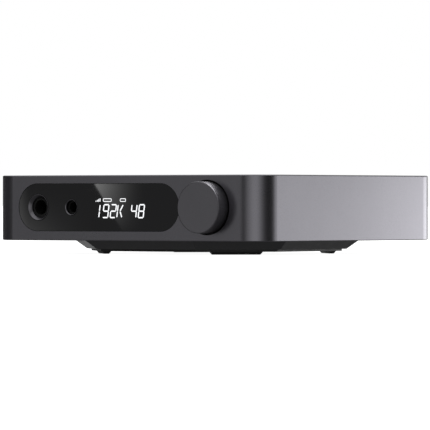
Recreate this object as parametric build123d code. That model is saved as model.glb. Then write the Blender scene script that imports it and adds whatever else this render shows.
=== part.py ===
from build123d import *
import os
from math import cos, pi, sin, sqrt

# Desktop DAC and headphone amplifier in a one-piece aluminium shell.
# Millimetres, +Z up, the front panel faces -Y, +X is to the right of a person
# who faces it. The origin is the middle of the whole unit, on the table.

# ---------------------------------------------------------------- sizes
# Shell
SHELL_WIDTH = 147.0
SHELL_DEPTH = 133.0
SHELL_HEIGHT = 28.4
SHELL_CORNER = 11.7
SHELL_EDGE = 0.6
SIDE_WALL = 2.6
TOP_WALL = 2.2
FRONT_WALL = 3.2
REAR_WALL = 3.6
BOSS_RADIUS = 3.5
BOSS_INSET = 8.4          # from the inner wall to a corner boss's axis
BOSS_PAD = 2.0            # the base pan is this much thicker under each boss

# Base under the shell: pedestal, plate and feet
PEDESTAL_SIDE_MARGIN = 15.2
PEDESTAL_FRONT_MARGIN = 10.5
PEDESTAL_LEG = 29.0       # length of each 45 degree corner cut, along X or Y
PEDESTAL_DROP = 3.85
PEDESTAL_SLOPE = 5.2      # how far the slope runs inwards over its drop
PAN_FLANGE = 2.0
PAN_FLOOR = 1.6
PAN_WALL = 2.6
PLATE_THICK = 0.9
PLATE_MARGIN = 1.9
FOOT_LENGTH = 23.0
FOOT_WIDTH = 4.1
FOOT_HEIGHT = 1.22
FOOT_BEVEL = 1.0
FOOT_INSET = 3.5          # from the plate's corner cut to the foot's middle

# Front panel
AXIS_RISE = 0.25          # controls' axis above the middle of the shell
WINDOW_HEIGHT = 20.9
WINDOW_LEFT_MARGIN = 15.2
WINDOW_KNOB_GAP = 2.91    # metal between the window and the knob's hole
WINDOW_THICK = 1.5
WINDOW_RECESS = 0.1
WINDOW_LEDGE = 2.0
GASKET_THICK = 0.2
GASKET_WIDTH = 1.5
KNOB_RIGHT_MARGIN = 28.45
KNOB_RADIUS = 11.05
KNOB_OUT = 6.6
KNOB_IN = 1.0
KNOB_GAP = 0.8
KNOB_EDGE = 0.5
KNOB_FACE = 2.0
KNOB_RIM = 2.2
KNOB_HUB_WALL = 2.0
KNOB_TRAVEL = 0.5

# Headphone jacks
JACK_635_FROM_LEFT = 11.0
JACK_635_BORE = 3.25
JACK_635_FLARE = 1.65     # how much wider the collar's mouth is than the bore
JACK_635_RIM = 0.85
JACK_635_WALL = 3.75
JACK_635_LENGTH = 31.0
JACK_44_FROM_LEFT = 29.4
JACK_44_BORE = 2.25
JACK_44_FLARE = 0.5
JACK_44_RIM = 0.75
JACK_44_WALL = 2.75
JACK_44_LENGTH = 24.0
JACK_END = 1.5
JACK_NOSE = 1.6           # round nose between the collar and the jack's block
COLLAR_DEPTH = 1.9
COLLAR_LIP = 0.15
LEAF_WIDTH = 2.2
LEAF_THICK = 0.3
LEAF_GAP = 0.2            # from the bore's wall to a leaf
LEAF_POCKET = (0.3, 1.0)  # how far a leaf's pocket goes into and past the bore's wall

# Display
DISPLAY_SIZE = (38.0, 15.4)
DISPLAY_FROM_RIGHT = 32.1
DISPLAY_GLASS = 1.8
BACKLIGHT_THICK = 2.6
HOLDER_WALL = 0.6

# Push encoder behind the knob
SHAFT_RADIUS = 3.0
SHAFT_FIT = 0.05
BUSHING_WALL = 0.45
BUSHING_FRONT = 2.2       # depth of its front end behind the panel's face
BRACKET_THICK = 1.5
BRACKET_HALF = 17.0
RING_THICK = 1.5
RING_NUT_GAP = 2.8        # from the nut's corners to the ring, room for the lamps
RING_OVERLAP = 2.2
NUT_WALL = 1.5
ENCODER_SIDE = 12.4
ENCODER_FLANGE = 1.2
ENCODER_DEPTH = 5.6
ENCODER_BACK = 1.0
ENCODER_WALL = 1.2
ROTOR_GAP = 0.4
ROTOR_THICK = 1.0
ROTOR_NOTCHES = 12
PLUNGER_RADIUS = 2.4
PLUNGER_TIP = 0.9
PLUNGER_GAP = 0.05
DOME_THICK = 0.2

# Boards
BOARD_THICK = 1.6
BOARD_JACK_DROP = 0.5     # the 6.35 mm jack's block is this much flatter underneath
BOARD_SIDE_GAP = 14.0     # from the inner side wall to the main board's edge
BOARD_REAR_GAP = 4.0
POST_RADIUS = 3.0
POST_INSET = 5.0          # from the board's side edge to a post's axis
BAY_GAP = 4.0             # free board behind the jacks and before the sockets
FRONT_BOARD_MARGIN = 3.2
CAN_RADIUS = 4.0
CAN_HEIGHT = 11.5
CAN_PITCH = 10.0
RELAY_SIZE = (9.6, 14.2, 9.0)
EDGE_GAP = 1.0            # from an end of the free board to the nearest component

# Rear panel and sockets
PANEL_THICK = 1.6
PANEL_GROOVE = 3.0        # how far the panel's edge goes behind the wall
OPENING_SIDE_MARGIN = 16.5
OPENING_MARGIN = 0.8      # from the panel screws' heads to the rear opening's top
FIT_GAP = 0.15
SOCKET_RISE = 13.0        # sockets' axis above the shell's foot
RCA_OUT = 8.6
RCA_RADIUS = 4.15
RCA_WALL = 0.85
RCA_COLLAR = 1.15         # how far the collar stands out round the sleeve
RCA_FLANGE_THICK = 0.8
RCA_BLOCK = (12.0, 11.5, 14.0)
RCA_PIN_BORE = 1.6
RCA_PIN_WALL = 0.5
OPTICAL_BLOCK = (11.4, 15.0, 12.4)
OPTICAL_CAVITY = (8.5, 11.0, 8.5)
SHUTTER_THICK = 0.6
SHUTTER_GAP = 0.25
SHUTTER_PIVOT = 0.5
SHUTTER_PIN = 0.8         # how far the rod goes into each side wall
SHUTTER_DEPTH = 1.2       # from the socket's face to the rod
USB_SIZE = (8.94, 3.26)
USB_DEPTH = 7.4
USB_WALL = 0.3
USB_TONGUE = (6.7, 5.0, 0.7)
DC_BLOCK = (9.6, 14.0, 10.6)
DC_BORE = 2.85
DC_NOSE_WALL = 1.25
DC_PIN = 1.05
DC_PIN_DEPTH = 9.5
SOCKET_OUT = 0.4          # USB, optical and power sockets stand this proud

# Fasteners
BASE_SCREW = (2.75, 1.7, 1.45, 10.0)    # head radius, head, shank radius, length
BOARD_SCREW = (2.6, 1.6, 1.2, 4.0)
BRACKET_SCREW = (1.9, 1.2, 0.95, 3.4)
PANEL_SCREW = (1.6, 1.0, 1.0, 5.0)
PLATE_SCREW = (1.9, 0.8, 0.95, 3.3)     # flat head, counted in the length
THREAD_GAP = 0.05
HEAD_GAP = 0.2
PLATE_SCREW_INSET = 8.0

# ------------------------------------------------- places worked out from them
BODY_Z = PEDESTAL_DROP + PLATE_THICK + FOOT_HEIGHT
TOP_Z = BODY_Z + SHELL_HEIGHT
BODY_Y = (KNOB_OUT - RCA_OUT) / 2
FRONT_Y = BODY_Y - SHELL_DEPTH / 2
REAR_Y = BODY_Y + SHELL_DEPTH / 2
LEFT_X = -SHELL_WIDTH / 2
RIGHT_X = SHELL_WIDTH / 2
AXIS_Z = BODY_Z + SHELL_HEIGHT / 2 + AXIS_RISE

INNER_X = SHELL_WIDTH / 2 - SIDE_WALL
INNER_FRONT = FRONT_Y + FRONT_WALL
INNER_REAR = REAR_Y - REAR_WALL
INNER_TOP = TOP_Z - TOP_WALL
INNER_CORNER = SHELL_CORNER - SIDE_WALL
FLANGE_TOP = BODY_Z + PAN_FLANGE

KNOB_X = RIGHT_X - KNOB_RIGHT_MARGIN
KNOB_HOLE = KNOB_RADIUS + KNOB_GAP
KNOB_HUB = SHAFT_RADIUS + KNOB_HUB_WALL
BUSHING_RADIUS = SHAFT_RADIUS + SHAFT_FIT + BUSHING_WALL
NUT_HALF = BUSHING_RADIUS + NUT_WALL
RING_INNER = NUT_HALF * 2 / sqrt(3) + RING_NUT_GAP
ENCODER_CAVITY = ENCODER_SIDE / 2 - ENCODER_WALL
ROTOR_RADIUS = ENCODER_CAVITY - ROTOR_GAP
WINDOW_LEFT = LEFT_X + WINDOW_LEFT_MARGIN
WINDOW_RIGHT = KNOB_X - KNOB_HOLE - WINDOW_KNOB_GAP
WINDOW_LENGTH = WINDOW_RIGHT - WINDOW_LEFT
WINDOW_X = (WINDOW_LEFT + WINDOW_RIGHT) / 2
WINDOW_SEAT = WINDOW_RECESS + WINDOW_THICK + GASKET_THICK
JACK_635_MOUTH = JACK_635_BORE + JACK_635_FLARE
JACK_635_COLLAR = JACK_635_MOUTH + JACK_635_RIM
JACK_635_HALF = JACK_635_BORE + JACK_635_WALL
JACK_44_MOUTH = JACK_44_BORE + JACK_44_FLARE
JACK_44_COLLAR = JACK_44_MOUTH + JACK_44_RIM
JACK_44_HALF = JACK_44_BORE + JACK_44_WALL
JACK_635_X = WINDOW_LEFT + JACK_635_FROM_LEFT
JACK_44_X = WINDOW_LEFT + JACK_44_FROM_LEFT
DISPLAY_X = WINDOW_RIGHT - DISPLAY_FROM_RIGHT

# Depths along the encoder's axis, from the front panel's face
RING_BACK = FRONT_WALL + RING_THICK
BRACKET_BACK = RING_BACK + BRACKET_THICK
FLANGE_BACK = BRACKET_BACK + ENCODER_FLANGE
HOUSING_BACK = FLANGE_BACK + ENCODER_DEPTH
DOME_FRONT = HOUSING_BACK - ENCODER_BACK - DOME_THICK
PLUNGER_END = DOME_FRONT - KNOB_TRAVEL - PLUNGER_GAP
SHAFT_END = PLUNGER_END - 1.4
ROTOR_BACK = SHAFT_END - 0.6
FRONT_BOARD_Y = FRONT_Y + HOUSING_BACK

BOARD_TOP = AXIS_Z - JACK_635_HALF + BOARD_JACK_DROP
BOARD_BOTTOM = BOARD_TOP - BOARD_THICK
BOARD_HALF = INNER_X - BOARD_SIDE_GAP
BOARD_FRONT = FRONT_BOARD_Y + BOARD_THICK + 2.0
BOARD_REAR = INNER_REAR - BOARD_REAR_GAP
BAY_FRONT = FRONT_Y + COLLAR_DEPTH + JACK_NOSE + JACK_635_LENGTH + BAY_GAP
BAY_REAR = INNER_REAR - OPTICAL_BLOCK[1] - BAY_GAP
BAY_Y = (BAY_FRONT + BAY_REAR) / 2
BAY_HALF = BOARD_HALF - POST_INSET - POST_RADIUS - 1.0
CAN_Y = BAY_REAR - EDGE_GAP - CAN_RADIUS
RELAY_Y = BAY_FRONT + RELAY_SIZE[1] / 2
SHIELD_Y = (RELAY_Y + RELAY_SIZE[1] / 2 + CAN_Y - CAN_PITCH - CAN_RADIUS) / 2
SOCKET_Z = BODY_Z + SOCKET_RISE
RCA_BORE = RCA_RADIUS - RCA_WALL
RCA_FLANGE = RCA_RADIUS + RCA_COLLAR
RCA_PIN_RADIUS = RCA_PIN_BORE + RCA_PIN_WALL
DC_NOSE = DC_BORE + DC_NOSE_WALL
OPENING_HALF = SHELL_WIDTH / 2 - OPENING_SIDE_MARGIN
PANEL_SCREW_Z = SOCKET_Z + RCA_FLANGE + PANEL_SCREW[0] + HEAD_GAP
OPENING_TOP = PANEL_SCREW_Z + PANEL_SCREW[0] + OPENING_MARGIN
PANEL_FACE = INNER_REAR + PANEL_THICK + FIT_GAP


# ---------------------------------------------------------------- helpers
def block(x, y, z):
    """A box between two limits along each axis."""
    size = (x[1] - x[0], y[1] - y[0], z[1] - z[0])
    return Pos(x[0], y[0], z[0]) * Box(*size, align=(Align.MIN, Align.MIN, Align.MIN))


def prism_z(outline, low, high):
    """An outline drawn in X and Y, carried from one height to another."""
    return Pos(0, 0, low) * extrude(outline, high - low)


def prism_y(outline, front, back):
    """An outline drawn in X and Z, carried from one place along Y to another."""
    return extrude(Plane.XZ.offset(-front) * outline, front - back)


def rod_y(x, z, radius, front, back):
    """A round bar along Y."""
    return prism_y(Pos(x, z) * Circle(radius), front, back)


def tube_y(x, z, outer, inner, front, back):
    return rod_y(x, z, outer, front, back) - rod_y(x, z, inner, front, back)


def rod_z(x, y, radius, low, high):
    return Pos(x, y, 0) * prism_z(Circle(radius), low, high)


def corners(half_x, half_y, middle_y=0.0):
    """The four corners of a rectangle about the unit's centre line."""
    return [(sx * half_x, middle_y + sy * half_y) for sx in (-1, 1) for sy in (-1, 1)]


def screw(size):
    """A socket-head screw that points up, with the seat of its head at the origin."""
    head_radius, head, shank_radius, length = size
    body = prism_z(Circle(head_radius), -head, 0) + prism_z(Circle(shank_radius), 0, length)
    socket = prism_z(RegularPolygon(head_radius * 0.5, 6), -head, -head * 0.4)
    return body - socket


def countersink(size):
    """The cone of a flat head, widest at the origin."""
    head_radius, head, shank_radius, _ = size
    return Pos(0, 0, head / 2) * Cone(head_radius, shank_radius, head)


def flat_screw(size):
    """A countersunk screw that points up, with the face of its head at the origin."""
    head_radius, head, shank_radius, length = size
    body = countersink(size) + prism_z(Circle(shank_radius), 0, length)
    return body - prism_z(RegularPolygon(head_radius * 0.45, 6), 0, head * 0.6)


def octagon(inset):
    """The pedestal's outline, drawn in by the same amount on all eight sides."""
    half_x = SHELL_WIDTH / 2 - PEDESTAL_SIDE_MARGIN - inset
    half_y = SHELL_DEPTH / 2 - PEDESTAL_FRONT_MARGIN - inset
    leg = PEDESTAL_LEG - inset * (2 - sqrt(2))
    outline = Pos(0, BODY_Y) * Rectangle(2 * half_x, 2 * half_y)
    return chamfer(outline.vertices(), leg)


def stadium(inset):
    """The front window's outline, drawn in all round, in X and Z."""
    length = WINDOW_LENGTH - 2 * inset
    return Pos(WINDOW_X, AXIS_Z) * SlotOverall(length, WINDOW_HEIGHT - 2 * inset)


def group(pieces):
    return Compound(children=list(pieces))


def write(name, shape):
    export_step(shape, "parts/" + name + ".step")


# ---------------------------------------------------------------- shell and base
BOSS_PLACES = corners(
    INNER_X - BOSS_INSET,
    (INNER_REAR - INNER_FRONT) / 2 - BOSS_INSET,
    (INNER_REAR + INNER_FRONT) / 2,
)
POST_PLACES = corners(BOARD_HALF - POST_INSET, (BAY_REAR - BAY_FRONT) / 2, BAY_Y)
BASE_SEAT = BODY_Z + BASE_SCREW[1] + 0.1
BASE_SCREW_END = BASE_SEAT + BASE_SCREW[3] + HEAD_GAP
PLATE_HALF_X = SHELL_WIDTH / 2 - PEDESTAL_SIDE_MARGIN - PEDESTAL_SLOPE - PLATE_MARGIN
PLATE_HALF_Y = SHELL_DEPTH / 2 - PEDESTAL_FRONT_MARGIN - PEDESTAL_SLOPE - PLATE_MARGIN
PLATE_SCREWS = [
    (PLATE_HALF_X - PLATE_SCREW_INSET, BODY_Y),
    (PLATE_SCREW_INSET - PLATE_HALF_X, BODY_Y),
    (0, BODY_Y + PLATE_HALF_Y - PLATE_SCREW_INSET),
    (0, BODY_Y + PLATE_SCREW_INSET - PLATE_HALF_Y),
]
BRACKET_HOLES = [
    (KNOB_X - BRACKET_HALF + 2.4, AXIS_Z + 7.5),
    (KNOB_X + BRACKET_HALF - 2.4, AXIS_Z + 7.5),
    (KNOB_X - BRACKET_HALF + 2.4, AXIS_Z - 7.5),
    (KNOB_X + BRACKET_HALF - 2.4, AXIS_Z - 7.5),
]


def cavity_outline(gap):
    """The shell's inside, or what fits it with a gap all round, in X and Y."""
    width = 2 * (INNER_X - gap)
    depth = INNER_REAR - INNER_FRONT - 2 * gap
    place = Pos(0, (INNER_REAR + INNER_FRONT) / 2)
    return place * RectangleRounded(width, depth, INNER_CORNER - gap)


def top_shell():
    """One-piece shell: top, four walls, screw bosses and the openings in them."""
    outline = Pos(0, BODY_Y) * RectangleRounded(SHELL_WIDTH, SHELL_DEPTH, SHELL_CORNER)
    shell = prism_z(outline, BODY_Z, TOP_Z)
    shell = fillet(shell.faces().sort_by(Axis.Z)[-1].edges(), SHELL_EDGE)
    shell = chamfer(shell.faces().sort_by(Axis.Z)[0].edges(), SHELL_EDGE / 2)
    shell -= prism_z(cavity_outline(0), BODY_Z, INNER_TOP)
    for x, y in BOSS_PLACES:
        foot = FLANGE_TOP + BOSS_PAD
        shell += rod_z(x, y, BOSS_RADIUS, foot, INNER_TOP)
        shell -= rod_z(x, y, BASE_SCREW[2] + THREAD_GAP, foot, BASE_SCREW_END)
    shell -= prism_y(stadium(0), FRONT_Y, FRONT_Y + WINDOW_SEAT)
    shell -= prism_y(stadium(WINDOW_LEDGE), FRONT_Y, INNER_FRONT)
    shell -= rod_y(KNOB_X, AXIS_Z, KNOB_HOLE, FRONT_Y, INNER_FRONT)
    for x, z in BRACKET_HOLES:
        shell += rod_y(x, z, 2.2, INNER_FRONT, FRONT_Y + RING_BACK)
        hole = FRONT_Y + BRACKET_BACK - BRACKET_SCREW[3]
        shell -= rod_y(x, z, BRACKET_SCREW[2] + THREAD_GAP, hole, FRONT_Y + RING_BACK)
    opening = (-OPENING_HALF, OPENING_HALF)
    groove = (-OPENING_HALF - PANEL_GROOVE, OPENING_HALF + PANEL_GROOVE)
    shell -= block(opening, (INNER_REAR, REAR_Y), (BODY_Z, OPENING_TOP))
    shell -= block(groove, (INNER_REAR, PANEL_FACE), (BODY_Z, OPENING_TOP + PANEL_GROOVE / 2))
    return shell


def base_pan():
    """Flange that closes the shell from below, with the hollow pedestal under it."""
    slope = PEDESTAL_SLOPE / PEDESTAL_DROP
    depth = PEDESTAL_DROP - PAN_FLOOR
    top, bottom = Pos(0, 0, BODY_Z), Pos(0, 0, BODY_Z - PEDESTAL_DROP)
    pan = prism_z(cavity_outline(FIT_GAP), BODY_Z, FLANGE_TOP)
    sill = OPENING_HALF - FIT_GAP
    pan += block((-sill, sill), (INNER_REAR - 2, REAR_Y - FIT_GAP), (BODY_Z, FLANGE_TOP))
    pan += loft([top * octagon(0), bottom * octagon(PEDESTAL_SLOPE)], ruled=True)
    floor = Pos(0, 0, BODY_Z - depth) * octagon(PAN_WALL + slope * depth)
    hollow = prism_z(octagon(PAN_WALL), BODY_Z, FLANGE_TOP)
    hollow += loft([top * octagon(PAN_WALL), floor], ruled=True)
    for x, y in POST_PLACES:
        hollow -= rod_z(x, y, POST_RADIUS, BODY_Z - depth, FLANGE_TOP)
    pan -= hollow
    for x, y in POST_PLACES:
        pan += rod_z(x, y, POST_RADIUS, FLANGE_TOP, BOARD_BOTTOM)
        low = BOARD_TOP - BOARD_SCREW[3] - HEAD_GAP
        pan -= rod_z(x, y, BOARD_SCREW[2] + THREAD_GAP, low, BOARD_BOTTOM)
    for x, y in PLATE_SCREWS:
        pan += rod_z(x, y, PLATE_SCREW[0] + 0.8, BODY_Z - PEDESTAL_DROP, BODY_Z)
        low = BODY_Z - PEDESTAL_DROP
        high = low - PLATE_THICK + PLATE_SCREW[3] + HEAD_GAP
        pan -= rod_z(x, y, PLATE_SCREW[2] + THREAD_GAP, low, high)
    for x, y in BOSS_PLACES:
        pan += rod_z(x, y, BOSS_RADIUS + 1, FLANGE_TOP, FLANGE_TOP + BOSS_PAD)
        pan -= rod_z(x, y, BASE_SCREW[0] + HEAD_GAP, BODY_Z, BASE_SEAT)
        pan -= rod_z(x, y, BASE_SCREW[2] + HEAD_GAP, BASE_SEAT, FLANGE_TOP + BOSS_PAD)
    return pan


def base_plate():
    """Thin octagonal plate under the pedestal."""
    low = BODY_Z - PEDESTAL_DROP - PLATE_THICK
    plate = prism_z(octagon(PEDESTAL_SLOPE + PLATE_MARGIN), low, low + PLATE_THICK)
    for x, y in PLATE_SCREWS:
        plate -= rod_z(x, y, PLATE_SCREW[2] + HEAD_GAP, low, low + PLATE_THICK)
        plate -= Pos(x, y, low) * countersink(PLATE_SCREW)
    return plate


def feet():
    """Four bevelled rubber strips, one along each 45 degree corner of the plate."""
    leg = PEDESTAL_LEG - (PEDESTAL_SLOPE + PLATE_MARGIN) * (2 - sqrt(2))
    x = PLATE_HALF_X - leg / 2 - FOOT_INSET / sqrt(2)
    y = PLATE_HALF_Y - leg / 2 - FOOT_INSET / sqrt(2)
    wide = Rectangle(FOOT_LENGTH, FOOT_WIDTH)
    narrow = Rectangle(FOOT_LENGTH - 2 * FOOT_BEVEL, FOOT_WIDTH - 2 * FOOT_BEVEL)
    strip = loft([narrow, Pos(0, 0, FOOT_HEIGHT) * wide], ruled=True)
    pieces = []
    for sx, sy in corners(1, 1):
        turn = -45 * sx * sy
        pieces.append(Pos(sx * x, BODY_Y + sy * y, 0) * Rot(0, 0, turn) * strip)
    return group(pieces)


# ---------------------------------------------------------------- front window
def front_window():
    """Black pane with a hole for each jack's collar."""
    front = FRONT_Y + WINDOW_RECESS
    pane = prism_y(stadium(FIT_GAP / 2), front, front + WINDOW_THICK)
    for x, radius in ((JACK_635_X, JACK_635_COLLAR), (JACK_44_X, JACK_44_COLLAR)):
        pane -= rod_y(x, AXIS_Z, radius + THREAD_GAP, front, front + WINDOW_THICK)
    return pane


def window_gasket():
    """Adhesive ring between the pane and the ledge behind it."""
    front = FRONT_Y + WINDOW_RECESS + WINDOW_THICK
    ring = stadium(FIT_GAP) - stadium(FIT_GAP + GASKET_WIDTH)
    return prism_y(ring, front, front + GASKET_THICK)


def jack_collar(x, outer, mouth, bore):
    """Ring in the pane, with a mouth that leads a plug into the jack."""
    front = FRONT_Y + WINDOW_RECESS - COLLAR_LIP
    back = FRONT_Y + COLLAR_DEPTH
    ring = rod_y(x, AXIS_Z, outer, front, back)
    wide = Plane.XZ.offset(-front) * (Pos(x, AXIS_Z) * Circle(mouth))
    narrow = Plane.XZ.offset(-back) * (Pos(x, AXIS_Z) * Circle(bore))
    return ring - loft([wide, narrow])


def jack_leaves(length):
    """Which side of the bore each spring leaf is on, and its place along the block."""
    start = FRONT_Y + COLLAR_DEPTH + JACK_NOSE
    return [(-1, start + 0.25 * length), (1, start + 0.5 * length), (-1, start + 0.75 * length)]


def jack_body(x, nose, bore, half, length):
    """Round nose and block with the plug's bore, and pockets for the leaves."""
    front = FRONT_Y + COLLAR_DEPTH
    back = front + JACK_NOSE + length
    top = AXIS_Z + half - BOARD_JACK_DROP
    body = block((x - half, x + half), (front + JACK_NOSE, back), (BOARD_TOP, top))
    body += rod_y(x, AXIS_Z, nose, front, front + JACK_NOSE)
    body -= rod_y(x, AXIS_Z, bore, front, back - JACK_END)
    for side, y in jack_leaves(length):
        near = x + side * (bore - LEAF_POCKET[0])
        far = x + side * (bore + LEAF_POCKET[1])
        reach = (min(near, far), max(near, far))
        body -= block(reach, (y - 2, y + 2), (AXIS_Z - LEAF_WIDTH / 2, top))
    return body


def jack_contacts(x, bore, half, length):
    """Spring leaves that stand in the jack's pockets."""
    top = AXIS_Z + half - BOARD_JACK_DROP
    pieces = []
    for side, y in jack_leaves(length):
        middle = x + side * (bore + LEAF_GAP + LEAF_THICK / 2)
        across = (middle - LEAF_THICK / 2, middle + LEAF_THICK / 2)
        pieces.append(block(across, (y - 1.4, y + 1.4), (AXIS_Z - LEAF_WIDTH / 2, top)))
    return group(pieces)


# ---------------------------------------------------------------- display
def display_block(front, back, gap):
    """The display's outline, carried between two depths behind the front panel."""
    outline = Pos(DISPLAY_X, AXIS_Z) * Rectangle(
        DISPLAY_SIZE[0] - 2 * gap, DISPLAY_SIZE[1] - 2 * gap
    )
    return prism_y(outline, FRONT_Y + front, FRONT_Y + back)


DISPLAY_FRONT = WINDOW_RECESS + WINDOW_THICK + 0.1
DISPLAY_BACK = DISPLAY_FRONT + DISPLAY_GLASS


def display_panel():
    return display_block(DISPLAY_FRONT, DISPLAY_BACK, 0)


def display_backlight():
    return display_block(DISPLAY_BACK, DISPLAY_BACK + BACKLIGHT_THICK, HOLDER_WALL)


def display_holder():
    """Open frame that stands on the front board and holds the display."""
    frame = display_block(DISPLAY_BACK, HOUSING_BACK, 0)
    return frame - display_block(DISPLAY_BACK, HOUSING_BACK, HOLDER_WALL)


def front_board():
    """Upright board that carries the display and the encoder."""
    left = JACK_44_X + JACK_44_HALF + 1.5
    right = KNOB_X + ENCODER_SIDE / 2 + FRONT_BOARD_MARGIN
    z = (FLANGE_TOP + FRONT_BOARD_MARGIN, INNER_TOP - FRONT_BOARD_MARGIN)
    return block((left, right), (FRONT_BOARD_Y, FRONT_BOARD_Y + BOARD_THICK), z)


# ---------------------------------------------------------------- knob and encoder
def light_ring():
    """Diffuser ring behind the gap round the knob."""
    outer = KNOB_HOLE + RING_OVERLAP
    high = (INNER_TOP - AXIS_Z) - 0.4
    low = (AXIS_Z - FLANGE_TOP) - 0.4
    ring = tube_y(KNOB_X, AXIS_Z, outer, RING_INNER, FRONT_Y + FRONT_WALL, FRONT_Y + RING_BACK)
    keep = block(
        (KNOB_X - outer, KNOB_X + outer),
        (FRONT_Y, FRONT_Y + RING_BACK),
        (AXIS_Z - low, AXIS_Z + high),
    )
    ring = ring & keep
    for x, z in BRACKET_HOLES:
        ring -= rod_y(x, z, 2.2 + FIT_GAP, FRONT_Y, FRONT_Y + RING_BACK)
    return ring


def encoder_bracket():
    """Plate across the knob's hole that the encoder is bolted to."""
    half = BRACKET_HALF
    z = (AXIS_Z - 9.9, AXIS_Z + 9.9)
    y = (FRONT_Y + RING_BACK, FRONT_Y + BRACKET_BACK)
    plate = block((KNOB_X - half, KNOB_X + half), y, z)
    plate -= rod_y(KNOB_X, AXIS_Z, BUSHING_RADIUS + THREAD_GAP, *y)
    for x, z in BRACKET_HOLES:
        plate -= rod_y(x, z, BRACKET_SCREW[2] + HEAD_GAP, *y)
    return plate


def bracket_screws():
    place = FRONT_Y + BRACKET_BACK
    return group(Pos(x, place, z) * Rot(90, 0, 0) * screw(BRACKET_SCREW) for x, z in BRACKET_HOLES)


def encoder_nut():
    outline = Pos(KNOB_X, AXIS_Z) * RegularPolygon(NUT_HALF, 6, major_radius=False)
    back = FRONT_Y + RING_BACK
    nut = prism_y(outline, back - RING_THICK, back)
    return nut - rod_y(KNOB_X, AXIS_Z, BUSHING_RADIUS + THREAD_GAP, back - RING_THICK, back)


def encoder_bushing():
    """Threaded barrel with the square flange that the housing is crimped to."""
    side = ENCODER_SIDE / 2
    flange = (FRONT_Y + BRACKET_BACK, FRONT_Y + FLANGE_BACK)
    bushing = rod_y(KNOB_X, AXIS_Z, BUSHING_RADIUS, FRONT_Y + BUSHING_FRONT, flange[1])
    bushing += block((KNOB_X - side, KNOB_X + side), flange, (AXIS_Z - side, AXIS_Z + side))
    bore = SHAFT_RADIUS + SHAFT_FIT
    return bushing - rod_y(KNOB_X, AXIS_Z, bore, FRONT_Y + BUSHING_FRONT, flange[1])


def encoder_housing():
    """Square housing with the round space that the rotor turns in."""
    side = ENCODER_SIDE / 2
    depth = (FRONT_Y + FLANGE_BACK, FRONT_Y + HOUSING_BACK)
    housing = block((KNOB_X - side, KNOB_X + side), depth, (AXIS_Z - side, AXIS_Z + side))
    return housing - rod_y(KNOB_X, AXIS_Z, ENCODER_CAVITY, depth[0], depth[1] - ENCODER_BACK)


def switch_dome():
    """Snap dome on the back wall of the housing."""
    front = FRONT_Y + DOME_FRONT
    return rod_y(KNOB_X, AXIS_Z, PLUNGER_RADIUS, front, front + DOME_THICK)


def press_plunger():
    """Pusher between the shaft's end and the dome."""
    shoulder = FRONT_Y + PLUNGER_END - 0.5
    plunger = rod_y(KNOB_X, AXIS_Z, PLUNGER_RADIUS, FRONT_Y + SHAFT_END + PLUNGER_GAP, shoulder)
    return plunger + rod_y(KNOB_X, AXIS_Z, PLUNGER_TIP, shoulder, FRONT_Y + PLUNGER_END)


def encoder_shaft():
    """Round shaft from the knob's hub to the plunger."""
    return rod_y(KNOB_X, AXIS_Z, SHAFT_RADIUS, FRONT_Y - KNOB_OUT + KNOB_FACE, FRONT_Y + SHAFT_END)


def encoder_rotor():
    """Notched contact disc on the shaft."""
    depth = (FRONT_Y + ROTOR_BACK - ROTOR_THICK, FRONT_Y + ROTOR_BACK)
    disc = tube_y(KNOB_X, AXIS_Z, ROTOR_RADIUS, SHAFT_RADIUS, *depth)
    for i in range(ROTOR_NOTCHES):
        angle = 2 * pi * i / ROTOR_NOTCHES
        x = KNOB_X + ROTOR_RADIUS * cos(angle)
        z = AXIS_Z + ROTOR_RADIUS * sin(angle)
        disc -= rod_y(x, z, 0.45, *depth)
    return disc


def volume_knob():
    """Hollow turned knob with a hub on the shaft."""
    front, back = FRONT_Y - KNOB_OUT, FRONT_Y + KNOB_IN
    knob = rod_y(KNOB_X, AXIS_Z, KNOB_RADIUS, front, back)
    knob = chamfer(knob.faces().sort_by(Axis.Y)[0].edges(), KNOB_EDGE)
    hollow = KNOB_RADIUS - KNOB_RIM
    knob -= tube_y(KNOB_X, AXIS_Z, hollow, KNOB_HUB, front + KNOB_FACE, back)
    return knob - rod_y(KNOB_X, AXIS_Z, SHAFT_RADIUS, front + KNOB_FACE, back)


# ---------------------------------------------------------------- boards
def main_board():
    board = block((-BOARD_HALF, BOARD_HALF), (BOARD_FRONT, BOARD_REAR), (BOARD_BOTTOM, BOARD_TOP))
    for x, y in POST_PLACES:
        board -= rod_z(x, y, BOARD_SCREW[2] + HEAD_GAP, BOARD_BOTTOM, BOARD_TOP)
    return board


def board_screws():
    return group(Pos(x, y, BOARD_TOP) * Rot(180, 0, 0) * screw(BOARD_SCREW) for x, y in POST_PLACES)


def base_screws():
    return group(Pos(x, y, BASE_SEAT) * screw(BASE_SCREW) for x, y in BOSS_PLACES)


def plate_screws():
    z = BODY_Z - PEDESTAL_DROP - PLATE_THICK
    return group(Pos(x, y, z) * flat_screw(PLATE_SCREW) for x, y in PLATE_SCREWS)


def can(x, y, radius, height):
    """Round component that stands on the main board."""
    return rod_z(x, y, radius, BOARD_TOP, BOARD_TOP + height)


def chip(x, y, width, depth, height):
    """Flat component that lies on the main board."""
    return block(
        (x - width / 2, x + width / 2),
        (y - depth / 2, y + depth / 2),
        (BOARD_TOP, BOARD_TOP + height),
    )


def capacitors():
    """Two rows of electrolytic cans at the back of the board's left half."""
    pieces = []
    for i in range(3):
        for j in range(2):
            x, y = 4.2 - BAY_HALF + CAN_PITCH * i, CAN_Y - CAN_PITCH * j
            pieces.append(can(x, y, CAN_RADIUS, CAN_HEIGHT))
    return group(pieces)


def film_capacitors():
    return group(chip(BAY_HALF - 3 - 8 * i, BAY_REAR - 5, 5.0, 7.2, 6.5) for i in range(3))


def relays():
    return group(chip(5 - BAY_HALF + 12 * i, RELAY_Y, *RELAY_SIZE) for i in range(2))


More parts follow.
